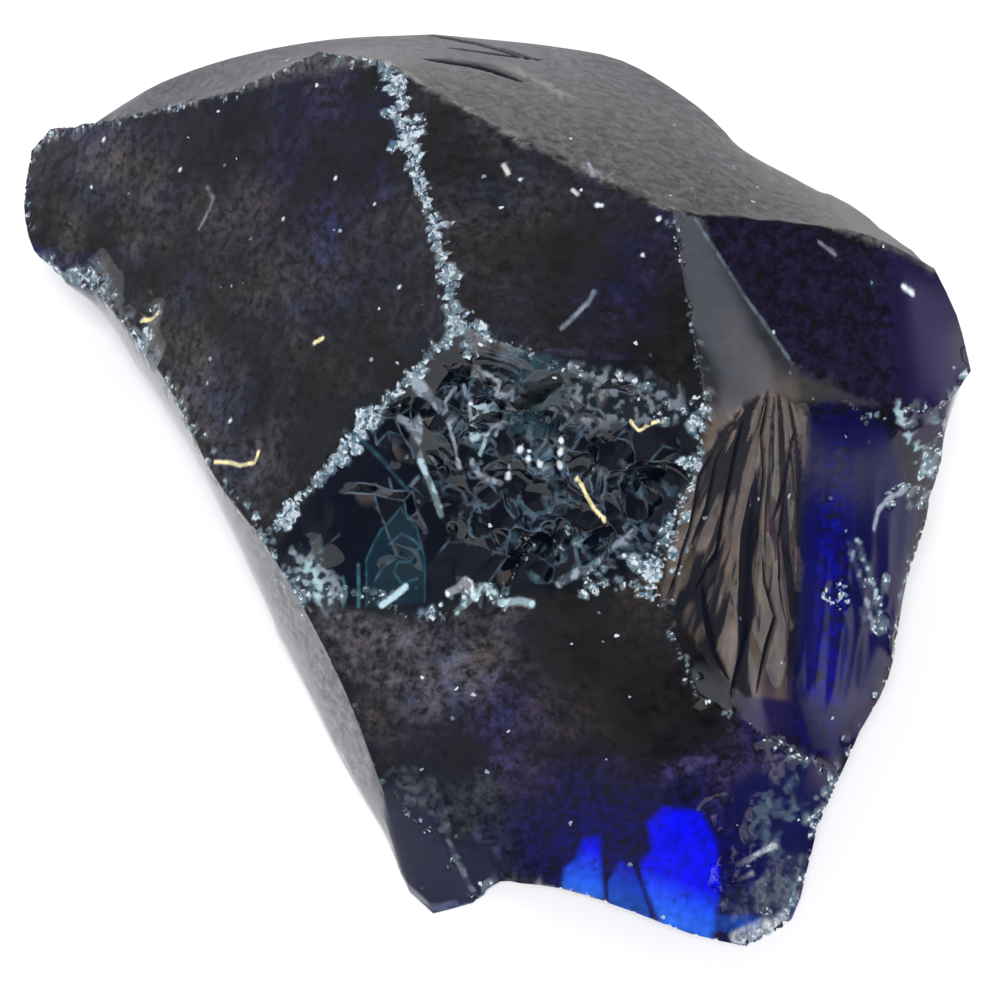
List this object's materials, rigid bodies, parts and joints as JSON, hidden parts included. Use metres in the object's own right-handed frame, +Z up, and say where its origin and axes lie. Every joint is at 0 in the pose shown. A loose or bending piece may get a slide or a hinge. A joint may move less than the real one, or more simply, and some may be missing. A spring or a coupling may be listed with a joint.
{
  "type": "glass cullet",
  "caption": "Broken chunk of thick cobalt-blue glass: peaked ridge, smooth, hackled and shattered fracture faces, sharp chipped edges, resting on a flat under face.",
  "frame": {"origin": "centre of the bounding box, at the bottom, on the surface that the chunk rests on", "axes": "+X along the longest extent, towards the end with the hackled face; +Y towards the sloping back; +Z up"},
  "size_m": [0.1276, 0.1216, 0.062],
  "materials": {
    "cobalt_glass": "clear deep blue glass, polished on the fracture faces and crushed white along the broken edges"
  },
  "bodies": {
    "root": {"glass_chunk": "cobalt_glass"}
  },
  "joints": []
}
